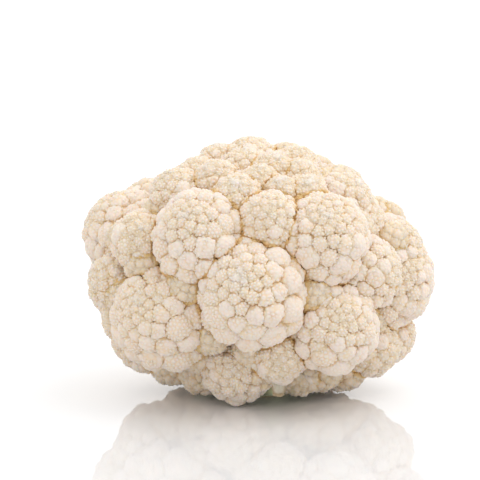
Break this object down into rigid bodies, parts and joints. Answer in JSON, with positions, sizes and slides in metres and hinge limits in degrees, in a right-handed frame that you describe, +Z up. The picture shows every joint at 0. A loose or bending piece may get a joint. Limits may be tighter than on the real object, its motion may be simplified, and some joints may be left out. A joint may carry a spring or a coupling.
{
  "type": "cauliflower",
  "caption": "Trimmed head of cauliflower: a rounded cream curd of knobbly florets over a cut stalk ringed by short trimmed leaf bases.",
  "frame": {"origin": "centre of the stalk's cut face, on the surface that the head stands on", "axes": "+Z up through the head; -Y towards the side that the picture shows; +X to the right in that view, along the head's longest side"},
  "size_m": [0.1792, 0.1783, 0.131],
  "materials": {
    "curd": "matt, waxy plant flesh, cream with tan in the creases",
    "stalk": "satin, pale green rind with a moist cut face",
    "leaf_stub": "satin, pale green with a dried cut end"
  },
  "bodies": {
    "root": {"curd": "curd", "stalk": "stalk", "leaf_stub_1": "leaf_stub", "leaf_stub_2": "leaf_stub", "leaf_stub_3": "leaf_stub", "leaf_stub_4": "leaf_stub", "leaf_stub_5": "leaf_stub", "leaf_stub_6": "leaf_stub", "leaf_stub_7": "leaf_stub"}
  },
  "joints": []
}
